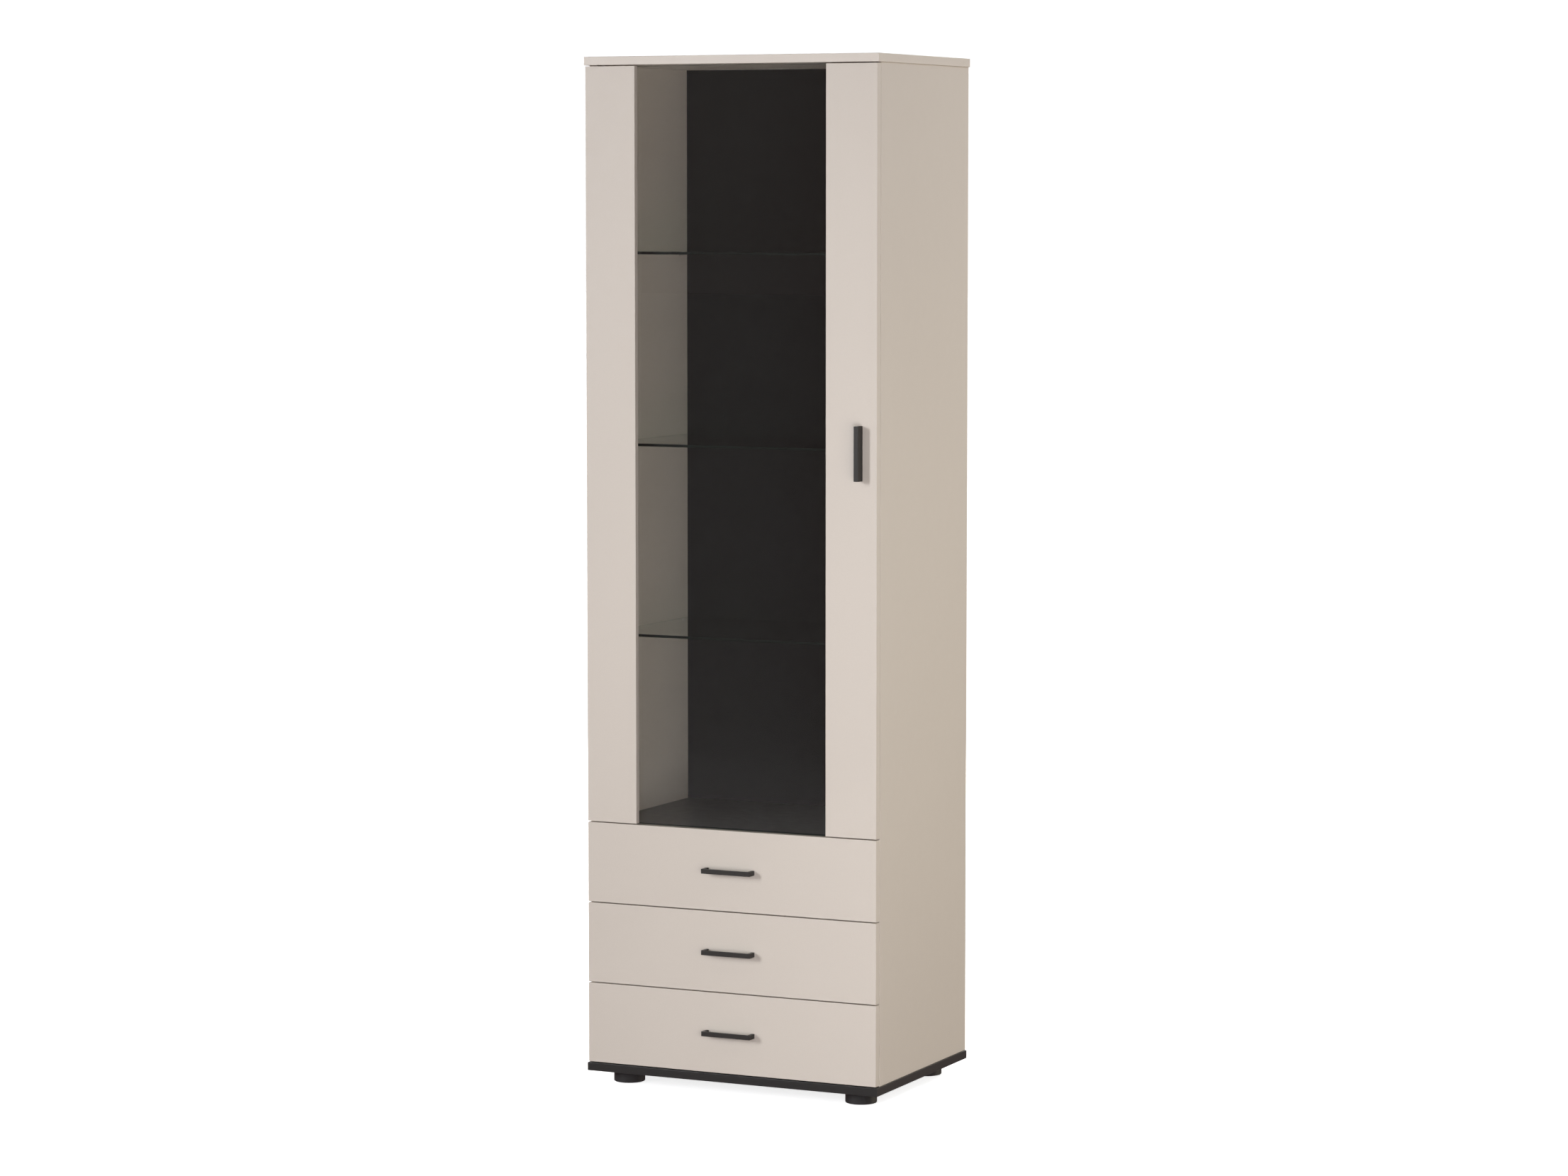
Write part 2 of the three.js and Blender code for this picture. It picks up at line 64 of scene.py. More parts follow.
class Shader:
    """A material or world whose nodes are added and linked in one line each."""

    def __init__(self, name, collection=bpy.data.materials, output="OutputMaterial"):
        self.made = collection.new(name)
        self.made.use_nodes = True
        self.tree = self.made.node_tree
        self.tree.nodes.clear()
        self.output = self.add(output)
        self.coords = None

    def add(self, kind, inputs=None, **settings):
        node = self.tree.nodes.new("ShaderNode" + kind)
        for key, value in settings.items():
            setattr(node, key, value)
        for key, value in (inputs or {}).items():
            if isinstance(value, bpy.types.NodeSocket):
                self.tree.links.new(value, node.inputs[key])
            else:
                node.inputs[key].default_value = value
        return node

    def place(self):
        """Object coordinates in metres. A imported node's are the part's own frame."""
        if self.coords is None:
            self.coords = self.add("TexCoord").outputs["Object"]
        return self.coords

    def stretched(self, scale):
        return self.add("Mapping", {"Vector": self.place(), "Scale": scale}).outputs[0]

    def noise(self, scale, detail=2.0, vector=None):
        inputs = {"Vector": vector or self.place(), "Scale": scale, "Detail": detail}
        return self.add("TexNoise", inputs).outputs["Fac"]

    def remap(self, value, low, high, source=(0.3, 0.7)):
        """Takes the source range, which most noise stays within, to a range from low to high."""
        inputs = {"Value": value, "To Min": low, "To Max": high}
        inputs["From Min"], inputs["From Max"] = source
        return self.add("MapRange", inputs).outputs[0]

    def times(self, a, b):
        return self.add("Math", {0: a, 1: b}, operation="MULTIPLY").outputs[0]

    def scaled(self, colour, factor):
        return self.add("VectorMath", {0: colour, "Scale": factor}, operation="SCALE").outputs[0]

    def blend(self, factor, a, b):
        """Mixes two colours, through the colour sockets of a Mix node."""
        return self.add("Mix", {0: factor, 6: a, 7: b}, data_type="RGBA").outputs[2]

    def bump(self, height, strength, distance):
        inputs = {"Height": height, "Strength": strength, "Distance": distance}
        return self.add("Bump", inputs).outputs[0]

    def seen_straight(self):
        """1 for rays straight from the camera, also through glass, and 0 after any bounce."""
        path = self.add("LightPath").outputs
        depths = {0: path["Diffuse Depth"], 1: path["Glossy Depth"]}
        bounces = self.add("Math", depths, operation="ADD").outputs[0]
        return self.add("Math", {0: bounces, 1: 0.5}, operation="LESS_THAN").outputs[0]

    def open_to_light(self, shader, shade):
        """Mixes in a straight path for shadow rays and diffuse bounces, which the shader would scatter."""
        path = self.add("LightPath").outputs
        kinds = {0: path["Is Shadow Ray"], 1: path["Is Diffuse Ray"]}
        carries = self.add("Math", kinds, operation="MAXIMUM").outputs[0]
        passing = self.add("BsdfTransparent", {"Color": shade}).outputs[0]
        return self.add("MixShader", {0: carries, 1: shader.outputs[0], 2: passing}).outputs[0]

    def finish(self, shader):
        self.tree.links.new(shader, self.output.inputs["Surface"])
        return self.made


def rgb(red, green, blue):
    """An sRGB colour of 0 to 255 as linear RGBA."""
    def linear(channel):
        value = channel / 255
        return value / 12.92 if value <= 0.04045 else ((value + 0.055) / 1.055) ** 2.4
    return (linear(red), linear(green), linear(blue), 1.0)


# ---------------------------------------------------------------- materials

GREIGE = rgb(210, 201, 190)
# The greige edge band is painted a little lighter than the face, as a highlight along the rounded edges.
GREIGE_BAND_HIGHLIGHT = rgb(213, 204, 193)
PALE_BAND = rgb(216, 207, 196)
CHARCOAL = rgb(42, 41, 40)
# The black edge band is painted lighter than the charcoal face, as a highlight along the rounded edges.
CHARCOAL_BAND_HIGHLIGHT = rgb(56, 55, 54)
BACK_COAT = rgb(49, 51, 51)
DARK_FIBRE = rgb(112, 84, 58)
LIGHT_FIBRE = rgb(150, 118, 86)
POWDER_BLACK = rgb(40, 37, 34)
FOOT_BLACK = rgb(46, 45, 45)
RUNNER_GREY = rgb(214, 213, 209)
NYLON_WHITE = rgb(232, 230, 224)
BOX_WHITE = rgb(226, 222, 214)
# The box edge band is painted a little lighter than the box face, as a highlight along the rounded edges.
BOX_BAND_HIGHLIGHT = rgb(230, 226, 218)
BOX_BOTTOM = rgb(214, 208, 198)

# The rest are linear. A tint colours what is seen through a glass, and a shade colours the light that
# it lets through.
NICKEL = (0.62, 0.60, 0.57)
SOFT_CLEAR = (0.88, 0.88, 0.86, 1.0)
DOOR_TINT = (0.99, 0.995, 0.985, 1.0)
DOOR_SHADE = (0.95, 0.955, 0.945, 1.0)
SHELF_TINT = (0.93, 0.975, 0.955, 1.0)
SHELF_SHADE = (0.92, 0.95, 0.935, 1.0)
EDGE_GREEN = (0.003, 0.006, 0.005)
EDGE_SHADE = (0.55, 0.66, 0.60, 1.0)


def laminate(name, colour, roughness, broad=0.012, fleck=0.02, grain=0.10):
    """Printed board: a faint cloudiness, fine flecks and a shallow pearl emboss."""
    s = Shader(name)
    cloud = s.remap(s.noise(2.2, 3.0), 1 - broad, 1 + broad)
    flecks = s.remap(s.noise(900.0, 2.0), 1 - fleck, 1 + fleck)
    emboss = s.noise(1300.0, 3.0)
    base = s.scaled(colour[:3], s.times(cloud, flecks))
    shader = s.add("BsdfPrincipled", {
        "Base Color": base,
        "Roughness": s.remap(s.noise(55.0, 3.0), roughness - 0.03, roughness + 0.03),
        "Normal": s.bump(emboss, grain, 0.06 * MM),
        "Specular IOR Level": 0.5,
    })
    return s.finish(shader.outputs[0])


def highlighted_edge_band(name, colour, roughness):
    """The rounded arris of a plastic edge band, a little smoother than the board's face. Its colour is
    painted lighter than the face, as a highlight along the edge.
    """
    s = Shader(name)
    streaks = s.noise(260.0, 2.0, s.stretched((1.0, 1.0, 0.08)))
    shader = s.add("BsdfPrincipled", {
        "Base Color": s.scaled(colour[:3], s.remap(streaks, 0.985, 1.015)),
        "Roughness": s.remap(streaks, roughness - 0.03, roughness + 0.03),
        "Specular IOR Level": 0.5,
    })
    return s.finish(shader.outputs[0])


def back_board(split_y):
    """Thin fibreboard: a black coat inside the cabinet and bare brown fibre behind it."""
    s = Shader("back_board")
    along = s.add("SeparateXYZ", {0: s.place()}).outputs[AXIS_Y]
    is_rear = s.add("Math", {0: along, 1: split_y}, operation="GREATER_THAN").outputs[0]
    cloud = s.remap(s.noise(3.0, 3.0), 0.97, 1.03)
    coat = s.scaled(BACK_COAT[:3], cloud)
    fibres = s.noise(420.0, 6.0, s.stretched((1.0, 1.0, 0.35)))
    fibre = s.blend(s.remap(fibres, 0.0, 1.0), DARK_FIBRE, LIGHT_FIBRE)
    shader = s.add("BsdfPrincipled", {
        "Base Color": s.blend(is_rear, coat, fibre),
        "Roughness": s.remap(is_rear, 0.75, 0.85, (0.0, 1.0)),
        "Normal": s.bump(fibres, 0.02, 0.02 * MM),
        "Specular IOR Level": 0.0,
    })
    return s.finish(shader.outputs[0])


def clear_glass(name, tint, shade):
    """Float glass that lets the lamps' light through, with a faint unevenness in its tint."""
    s = Shader(name)
    evenness = s.remap(s.noise(7.0, 4.0), 0.985, 1.0)
    glass = s.add("BsdfPrincipled", {
        "Base Color": s.scaled(tint[:3], evenness),
        "Roughness": 0.0,
        "IOR": 1.5,
        "Transmission Weight": 1.0,
    })
    return s.finish(s.open_to_light(glass, shade))


def glass_edge():
    """The ground edge of float glass, where the light's long path turns it deep green."""
    s = Shader("glass_edge")
    depth = s.remap(s.noise(30.0, 3.0, s.stretched((0.3, 0.3, 1.0))), 0.8, 1.2)
    ground = s.add("BsdfPrincipled", {
        "Base Color": s.scaled(EDGE_GREEN, depth),
        "Roughness": s.remap(s.noise(600.0, 2.0), 0.48, 0.58),
        "Normal": s.bump(s.noise(1500.0, 2.0), 0.05, 0.03 * MM),
        "Specular IOR Level": 0.06,
    })
    return s.finish(s.open_to_light(ground, EDGE_SHADE))


def powder_coat():
    """Matte black powder coat with its fine orange-peel texture."""
    s = Shader("powder_coat")
    peel = s.noise(1600.0, 4.0)
    tone = s.remap(s.noise(90.0, 2.0), 0.94, 1.06)
    shader = s.add("BsdfPrincipled", {
        "Base Color": s.scaled(POWDER_BLACK[:3], tone),
        "Roughness": s.remap(peel, 0.42, 0.56),
        "Normal": s.bump(peel, 0.35, 0.08 * MM),
        "Specular IOR Level": 0.5,
    })
    return s.finish(shader.outputs[0])


def moulded_plastic(name, colour, roughness):
    """Plastic with the fine spark-eroded grain of its mould."""
    s = Shader(name)
    spark = s.noise(1100.0, 3.0)
    tone = s.remap(s.noise(45.0, 2.0), 0.95, 1.05)
    shader = s.add("BsdfPrincipled", {
        "Base Color": s.scaled(colour[:3], tone),
        "Roughness": s.remap(spark, roughness - 0.05, roughness + 0.05),
        "Normal": s.bump(spark, 0.2, 0.05 * MM),
    })
    return s.finish(shader.outputs[0])


def coated_steel():
    """Light grey epoxy coat on rolled steel."""
    s = Shader("coated_steel")
    peel = s.noise(800.0, 2.0)
    tone = s.remap(s.noise(25.0, 3.0), 0.97, 1.03)
    shader = s.add("BsdfPrincipled", {
        "Base Color": s.scaled(RUNNER_GREY[:3], tone),
        "Roughness": s.remap(peel, 0.30, 0.40),
        "Normal": s.bump(peel, 0.12, 0.05 * MM),
    })
    return s.finish(shader.outputs[0])


def nickel_plate():
    """Nickel-plated pressed steel with faint drawing lines."""
    s = Shader("nickel_plate")
    lines = s.noise(500.0, 3.0, s.stretched((1.0, 0.06, 1.0)))
    shader = s.add("BsdfPrincipled", {
        "Base Color": s.scaled(NICKEL, s.remap(lines, 0.93, 1.05)),
        "Metallic": 1.0,
        "Roughness": s.remap(lines, 0.24, 0.36),
        "Normal": s.bump(lines, 0.06, 0.02 * MM),
    })
    return s.finish(shader.outputs[0])


def soft_clear():
    """Clear soft plastic of the bumpers and shelf pads."""
    s = Shader("soft_clear")
    haze = s.remap(s.noise(300.0, 2.0), 0.12, 0.22)
    shader = s.add("BsdfPrincipled", {
        "Base Color": SOFT_CLEAR,
        "Roughness": haze,
        "IOR": 1.43,
        "Transmission Weight": 0.75,
    })
    return s.finish(shader.outputs[0])


MATERIALS = {
    "greige_laminate": laminate("greige_laminate_face", GREIGE, 0.44),
    "greige_band_highlight": highlighted_edge_band("greige_band_highlight", GREIGE_BAND_HIGHLIGHT, 0.36),
    "pale_band": laminate("pale_band", PALE_BAND, 0.40),
    "black_laminate": laminate("black_laminate_face", CHARCOAL, 0.36, 0.04, 0.08, 0.14),
    "black_band_highlight": highlighted_edge_band("black_band_highlight", CHARCOAL_BAND_HIGHLIGHT, 0.34),
    "black_back": back_board(sum(corner.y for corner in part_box("back_panel")) / 2),
    "door_glass": clear_glass("door_glass_clear", DOOR_TINT, DOOR_SHADE),
    "shelf_glass": clear_glass("shelf_glass_clear", SHELF_TINT, SHELF_SHADE),
    "glass_edge": glass_edge(),
    "black_metal": powder_coat(),
    "foot_plastic": moulded_plastic("foot_plastic_black", FOOT_BLACK, 0.48),
    "runner_coat": coated_steel(),
    "nickel": nickel_plate(),
    "box_board": laminate("box_board_face", BOX_WHITE, 0.5, 0.01, 0.02, 0.08),
    "box_band_highlight": highlighted_edge_band("box_band_highlight", BOX_BAND_HIGHLIGHT, 0.42),
    "box_bottom": laminate("box_bottom_face", BOX_BOTTOM, 0.6, 0.015, 0.03, 0.12),
    "nylon": moulded_plastic("nylon_white", NYLON_WHITE, 0.4),
    "soft_clear": soft_clear(),
}


# ---------------------------------------------------------------- finishing the CAD nodes

BOARD_ROUND = 0.8 * MM
GLASS_ROUND = 0.4 * MM
METAL_ROUND = 0.5 * MM
PLASTIC_ROUND = 0.4 * MM
SHEET_ROUND = 0.3 * MM
HINGE_ROUND = 0.2 * MM

WELD_DISTANCE = 0.005 * MM
FLAT_ANGLE = math.radians(1)      # faces this near to one plane become one
SHARP_ANGLE = math.radians(30)    # edges sharper than this are rounded
MOSTLY = 0.5                      # a normal's share along an axis, above which a face looks that way


def use_materials(obj, *names):
    obj.data.materials.clear()
    for name in names:
        obj.data.materials.append(MATERIALS[name])


def round_edges(obj, width, segments=3, band_slot=0):
    """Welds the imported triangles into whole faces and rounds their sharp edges."""
    normals = obj.data.attributes.get("custom_normal")
    if normals is not None:
        obj.data.attributes.remove(normals)
    obj.data.polygons.foreach_set("use_smooth", [True] * len(obj.data.polygons))
    weld = obj.modifiers.new("weld", "WELD")
    weld.merge_threshold = WELD_DISTANCE
    whole = obj.modifiers.new("whole_faces", "DECIMATE")
    whole.decimate_type = "DISSOLVE"
    whole.angle_limit = FLAT_ANGLE
    bevel = obj.modifiers.new("rounded_edges", "BEVEL")
    bevel.width = width
    bevel.segments = segments
    bevel.limit_method = "ANGLE"
    bevel.angle_limit = SHARP_ANGLE
    # The rounded strip takes the material in this slot. On boards that is the edge band, painted lighter as
    # a highlight along the edge.
    bevel.material = band_slot
    bevel.use_clamp_overlap = True
    obj.modifiers.new("flat_faces", "WEIGHTED_NORMAL")


def show_bands(obj, material):
    """Gives a lying board's narrow faces their own edge band."""
    obj.data.materials.append(MATERIALS[material])
    band_index = len(obj.data.materials) - 1
    for polygon in obj.data.polygons:
        if abs(polygon.normal[AXIS_Z]) < MOSTLY:
            polygon.material_index = band_index


def finish_boards():
    greige = ["top_board"]
    greige += [f"{kind}_{side}" for kind in ("side_panel", "door_stile") for side in SIDES]
    greige += [f"drawer_{word}_front" for word in DRAWERS]
    for name in greige:
        use_materials(NODES[name], "greige_laminate", "greige_band_highlight")
        if name == "top_board":
            show_bands(NODES[name], "pale_band")
        round_edges(NODES[name], BOARD_ROUND, band_slot=1)
    for name in ("base_board", "compartment_floor"):
        use_materials(NODES[name], "black_laminate", "black_band_highlight")
        round_edges(NODES[name], BOARD_ROUND, band_slot=1)
    use_materials(NODES["back_panel"], "black_back")
    round_edges(NODES["back_panel"], SHEET_ROUND, segments=2)
    for word in DRAWERS:
        for part in ("side_left", "side_right", "back"):
            name = f"drawer_{word}_{part}"
            use_materials(NODES[name], "box_board", "box_band_highlight")
            round_edges(NODES[name], SHEET_ROUND, segments=2, band_slot=1)
        use_materials(NODES[f"drawer_{word}_bottom"], "box_bottom")
        round_edges(NODES[f"drawer_{word}_bottom"], SHEET_ROUND, segments=2)


def finish_glass(name, face, thin_axis):
    """Faces across the pane are clear, and the narrow ones round it are the ground edge."""
    obj = NODES[name]
    use_materials(obj, face, "glass_edge")
    for polygon in obj.data.polygons:
        polygon.material_index = 0 if abs(polygon.normal[thin_axis]) > MOSTLY else 1
    round_edges(obj, GLASS_ROUND, segments=2, band_slot=1)


def finish_metal():
    handles = ["door_handle"] + [f"drawer_{word}_handle" for word in DRAWERS]
    for name in handles:
        use_materials(NODES[name], "black_metal")
        round_edges(NODES[name], METAL_ROUND, segments=4)
    for word in DRAWERS:
        for side in SIDES:
            for name in (f"runner_{word}_{side}", f"drawer_{word}_runner_{side}"):
                use_materials(NODES[name], "runner_coat")
                round_edges(NODES[name], SHEET_ROUND)
    for level in LEVELS:
        for part in ("arm", "cup", "link"):
            use_materials(NODES[f"hinge_{part}_{level}"], "nickel")
            round_edges(NODES[f"hinge_{part}_{level}"], HINGE_ROUND, segments=2)


def finish_feet():
    for name in sorted(NODES):
        if name.startswith("foot_"):
            use_materials(NODES[name], "foot_plastic")
            round_edges(NODES[name], PLASTIC_ROUND)


# ---------------------------------------------------------------- small fittings

def add_object(name, data):
    obj = bpy.data.objects.new(name, data)
    bpy.context.scene.collection.objects.link(obj)
    return obj


def mesh_object(name, mesh, *materials):
    obj = add_object(name, mesh)
    use_materials(obj, *materials)
    return obj


def middle(low, high):
    return (low + high) / 2


def either_side(spacing):
    return (-spacing / 2, spacing / 2)


def in_mm(points):
    return [tuple(number * MM for number in point) for point in points]


def lathe(profile, segments, material_index=0, into=None):
    """Turns (radius, height) points about Z into a closed solid. The first and last lie on the axis
    or the profile closes on itself."""
    shape = into or bmesh.new()
    angles = [2 * math.pi * step / segments for step in range(segments)]
    rings = []
    for radius, height in profile:
        places = [(radius * math.cos(a), radius * math.sin(a), height) for a in angles]
        if radius == 0:
            places = [(0, 0, height)]
        rings.append([shape.verts.new(place) for place in places])
    closed = len(rings[0]) > 1
    pairs = list(zip(rings, rings[1:])) + ([(rings[-1], rings[0])] if closed else [])
    for low, high in pairs:
        for step in range(segments):
            after = (step + 1) % segments
            if len(low) == 1:
                corners = [low[0], high[after], high[step]]
            elif len(high) == 1:
                corners = [low[step], low[after], high[0]]
            else:
                corners = [low[step], low[after], high[after], high[step]]
            face = shape.faces.new(corners)
            face.material_index = material_index
            face.smooth = True
    return shape


def to_mesh(shape, name):
    bmesh.ops.recalc_face_normals(shape, faces=shape.faces)
    mesh = bpy.data.meshes.new(name)
    shape.to_mesh(mesh)
    shape.free()
    return mesh


# The pan head's outline and its recess, as shares of the head's radius and height.
PAN_HEAD = ((0, 0), (1, 0), (1, 0.35), (0.93, 0.68), (0.75, 0.9), (0.5, 1), (0, 1))
CROSS_REACH = 0.52
CROSS_HALF_WIDTH = 0.14
CROSS_DEPTH = 0.55
SCREW_SEGMENTS = 28
SCREW_HEADS = {
    # kind: (radius, height)
    "runner": (3.6 * MM, 1.0 * MM),
    "hinge_plate": (3.6 * MM, 1.8 * MM),
    "hinge_arm": (3.0 * MM, 0.9 * MM),
    "hinge_cup": (3.2 * MM, 1.1 * MM),
    "handle": (4.0 * MM, 2.3 * MM),
    "box": (3.4 * MM, 0.6 * MM),
}


def screw_mesh(kind):
    """A screw's pan head with a cross recess, standing on z = 0."""
    radius, height = SCREW_HEADS[kind]
    outline = [(across * radius, up * height) for across, up in PAN_HEAD]
    head_object = add_object("head", to_mesh(lathe(outline, SCREW_SEGMENTS), "head"))
    arm = CROSS_REACH * radius
    width = CROSS_HALF_WIDTH * radius
    depth = CROSS_DEPTH * height
    outline = [(arm, -width), (arm, width), (width, width), (width, arm), (-width, arm), (-width, width)]
    outline += [(-x, -y) for x, y in outline]
    cross = bmesh.new()
    face = cross.faces.new([cross.verts.new((x, y, height - depth)) for x, y in outline])
    grown = bmesh.ops.extrude_face_region(cross, geom=[face])
    moved = [item for item in grown["geom"] if isinstance(item, bmesh.types.BMVert)]
    bmesh.ops.translate(cross, vec=(0, 0, 2 * depth), verts=moved)
    cross_object = add_object("cross", to_mesh(cross, "cross"))
    cut = head_object.modifiers.new("recess", "BOOLEAN")
    cut.operation = "DIFFERENCE"
    cut.object = cross_object
    graph = bpy.context.evaluated_depsgraph_get()
    mesh = bpy.data.meshes.new_from_object(head_object.evaluated_get(graph), depsgraph=graph)
    for obj in (head_object, cross_object):
        bpy.data.objects.remove(obj)
    return mesh


def aim(position, normal, spin=0.0):
    """The matrix that stands a fitting made on z = 0 at a point, facing along a normal."""
    turn = Vector(normal).to_track_quat("Z", "Y").to_matrix().to_4x4()
    return Matrix.Translation(position) @ turn @ Matrix.Rotation(spin, 4, "Z")


TURN_PER_FITTING = 0.7            # radians, so that no two neighbours' recesses line up


def fitting_set(name, mesh, places, body, slot, *materials):
    """One piece holding a copy of a fitting at each (position, normal)."""
    shape = bmesh.new()
    for index, (position, normal) in enumerate(places):
        copy = mesh.copy()
        copy.transform(aim(position, normal, spin=TURN_PER_FITTING * index))
        shape.from_mesh(copy)
        bpy.data.meshes.remove(copy)
    made = bpy.data.meshes.new(name)
    shape.to_mesh(made)
    shape.free()
    obj = mesh_object(name, made, *materials)
    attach(obj, body)


def screws(name, head, places, body):
    fitting_set(name, head, places, body, "nickel", "nickel")


# ---------------------------------------------------------------- shelf supports

PIN_STUD = 2.5                    # these three are in millimetres, like the outlines below
PIN_PAD = 3.2
PIN_GAP = 0.05
PIN_FROM_EDGE = 32 * MM           # from the shelf's front and rear edges
PIN_SEGMENTS = 24


def shelf_pin_mesh():
    """A steel stud with a collar and a clear pad that the glass lies on. It points along +Z."""
    stud = [(0, 0), (4.0, 0), (4.0, 0.8), (PIN_STUD, 1.1), (PIN_STUD, 8.4), (1.9, 9.0), (0, 9.0)]
    sleeve = PIN_STUD + PIN_GAP
    pad = [(sleeve, 2.0), (PIN_PAD, 2.0), (PIN_PAD, 7.6), (sleeve, 7.6)]
    shape = lathe(in_mm(stud), PIN_SEGMENTS)
    lathe(in_mm(pad), PIN_SEGMENTS, material_index=1, into=shape)
    return to_mesh(shape, "shelf_pin")


def shelf_pins():
    mesh = shelf_pin_mesh()
    drop = (PIN_PAD + PIN_GAP) * MM
    for level in LEVELS:
        low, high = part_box(f"glass_shelf_{level}")
        rows = {"front": low.y + PIN_FROM_EDGE, "rear": high.y - PIN_FROM_EDGE}
        for side, sign in SIDES.items():
            wall = sign * abs(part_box("compartment_floor")[0].x)
            for row, y in rows.items():
                pin = mesh_object(f"shelf_pin_{level}_{row}_{side}", mesh, "nickel", "soft_clear")
                pin.matrix_world = aim((wall, y, low.z - drop), (-sign, 0, 0))
                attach(pin, "cabinet")


# ---------------------------------------------------------------- runner rollers and screws

ROLLER_RADIUS = 10.0              # these two are in millimetres, like the outlines below
ROLLER_WIDTH = 6.4
ROLLER_SEGMENTS = 48
RIVET_SEGMENTS = 24
FRONT_ROLLER_IN = 14 * MM         # from the cabinet profile's front end
REAR_ROLLER_IN = 13 * MM          # from the drawer profile's rear end
RUNNER_STEEL = 1.25 * MM
DRAWER_WEB_OUT = 1.5 * MM         # the drawer profile's steel and its clearance from the box side
CABINET_SCREWS_IN = (40 * MM, 172 * MM, 304 * MM)
DRAWER_SCREWS_IN = (34 * MM, 166 * MM, 298 * MM)


def roller_mesh():
    """A crowned nylon wheel on a steel rivet. It turns about Z and starts at z = 0."""
    r, w = ROLLER_RADIUS, ROLLER_WIDTH
    lower_face = [(1.6, 0), (3.4, 0), (3.8, 0.9), (r - 2.6, 0.9), (r - 2.2, 0), (r - 0.5, 0), (r - 0.1, 0.6)]
    upper_face = [(radius, w - height) for radius, height in reversed(lower_face)]
    wheel = lower_face + [(r, w / 2)] + upper_face
    rivet = [
        (0, -0.9), (1.55, -0.9), (1.55, w + 0.05), (2.7, w + 0.05),
        (2.5, w + 0.7), (1.6, w + 1.0), (0, w + 1.0),
    ]
    shape = lathe(in_mm(wheel), ROLLER_SEGMENTS)
    lathe(in_mm(rivet), RIVET_SEGMENTS, material_index=1, into=shape)
    return to_mesh(shape, "roller")


def outer_x(node, sign):
    """A node's far side to the left (-1) or right (1)."""
    low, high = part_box(node)
    return low.x if sign < 0 else high.x


def place_roller(name, mesh, position, normal, body):
    roller = mesh_object(name, mesh, "nylon", "nickel")
    roller.matrix_world = aim(position, normal)
    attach(roller, body)


def runner_fittings():
    """A roller and three screws for each profile: the drawer's lip lies on the cabinet's roller, and the
    drawer's own roller runs in the cabinet's track."""
    roller = roller_mesh()
    wood_screw = screw_mesh("runner")
    radius = ROLLER_RADIUS * MM
    cabinet_screws = []
    for word in DRAWERS:
        body = f"drawer_{word}"
        drawer_screws = []
        for side, sign in SIDES.items():
            inward, outward = (-sign, 0, 0), (sign, 0, 0)
            low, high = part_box(f"runner_{word}_{side}")
            web = outer_x(f"runner_{word}_{side}", sign) - sign * RUNNER_STEEL
            drawer_low, drawer_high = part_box(f"{body}_runner_{side}")
            drawer_web = outer_x(f"{body}_side_{side}", sign) + sign * DRAWER_WEB_OUT
            under_lip = (web, low.y + FRONT_ROLLER_IN, drawer_high.z - RUNNER_STEEL - radius)
            on_track = (drawer_web, drawer_high.y - REAR_ROLLER_IN, low.z + RUNNER_STEEL + radius)
            place_roller(f"roller_{word}_{side}", roller, under_lip, inward, "cabinet")
            place_roller(f"{body}_roller_{side}", roller, on_track, outward, body)
            for along in CABINET_SCREWS_IN:
                cabinet_screws.append(((web, low.y + along, middle(low.z, high.z)), inward))
            height = middle(drawer_low.z, drawer_high.z)
            for along in DRAWER_SCREWS_IN:
                drawer_screws.append(((drawer_web, drawer_low.y + along, height), outward))
        screws(f"{body}_runner_screws", wood_screw, drawer_screws, body)
    screws("runner_screws", wood_screw, cabinet_screws, "cabinet")


# ---------------------------------------------------------------- hinge, handle and box screws, bumpers

ARM_SHEET = 1.5 * MM
PLATE_SCREWS_IN = 32 * MM         # from the arm's front end
PLATE_SCREWS_APART = 36 * MM
ARM_SCREWS_IN = (22 * MM, 46 * MM)
EAR_BACK_OUT = 1.25 * MM          # the cup's ears and their clearance from the stile
CUP_SCREWS_IN = 10.5 * MM         # from the cup's right end
CUP_SCREWS_APART = 45 * MM
HANDLE_SCREWS_APART = 96 * MM
BOX_SCREWS_UP = (24 * MM, 74 * MM)
BUMPER_BELOW_TOP = 24 * MM        # of each drawer front
BUMPER_FROM_END = 40 * MM         # of the door
BUMPER_SEGMENTS = 24

RIGHT = (1, 0, 0)
FRONT = (0, -1, 0)
REAR = (0, 1, 0)


def hinge_fittings():
    plate_places, arm_places, cup_places = [], [], []
    ear_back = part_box("door_stile_left")[1].y + EAR_BACK_OUT
    for level in LEVELS:
        low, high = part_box(f"hinge_arm_{level}")
        z = middle(low.z, high.z)
        for up in either_side(PLATE_SCREWS_APART):
            plate_places.append(((low.x + ARM_SHEET, low.y + PLATE_SCREWS_IN, z + up), RIGHT))
        for along in ARM_SCREWS_IN:
            arm_places.append(((high.x, low.y + along, z), RIGHT))
        cup_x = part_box(f"hinge_cup_{level}")[1].x - CUP_SCREWS_IN
        for up in either_side(CUP_SCREWS_APART):
            cup_places.append(((cup_x, ear_back, z + up), REAR))
    screws("hinge_plate_screws", screw_mesh("hinge_plate"), plate_places, "cabinet")
    screws("hinge_arm_screws", screw_mesh("hinge_arm"), arm_places, "cabinet")
    screws("hinge_cup_screws", screw_mesh("hinge_cup"), cup_places, "door")


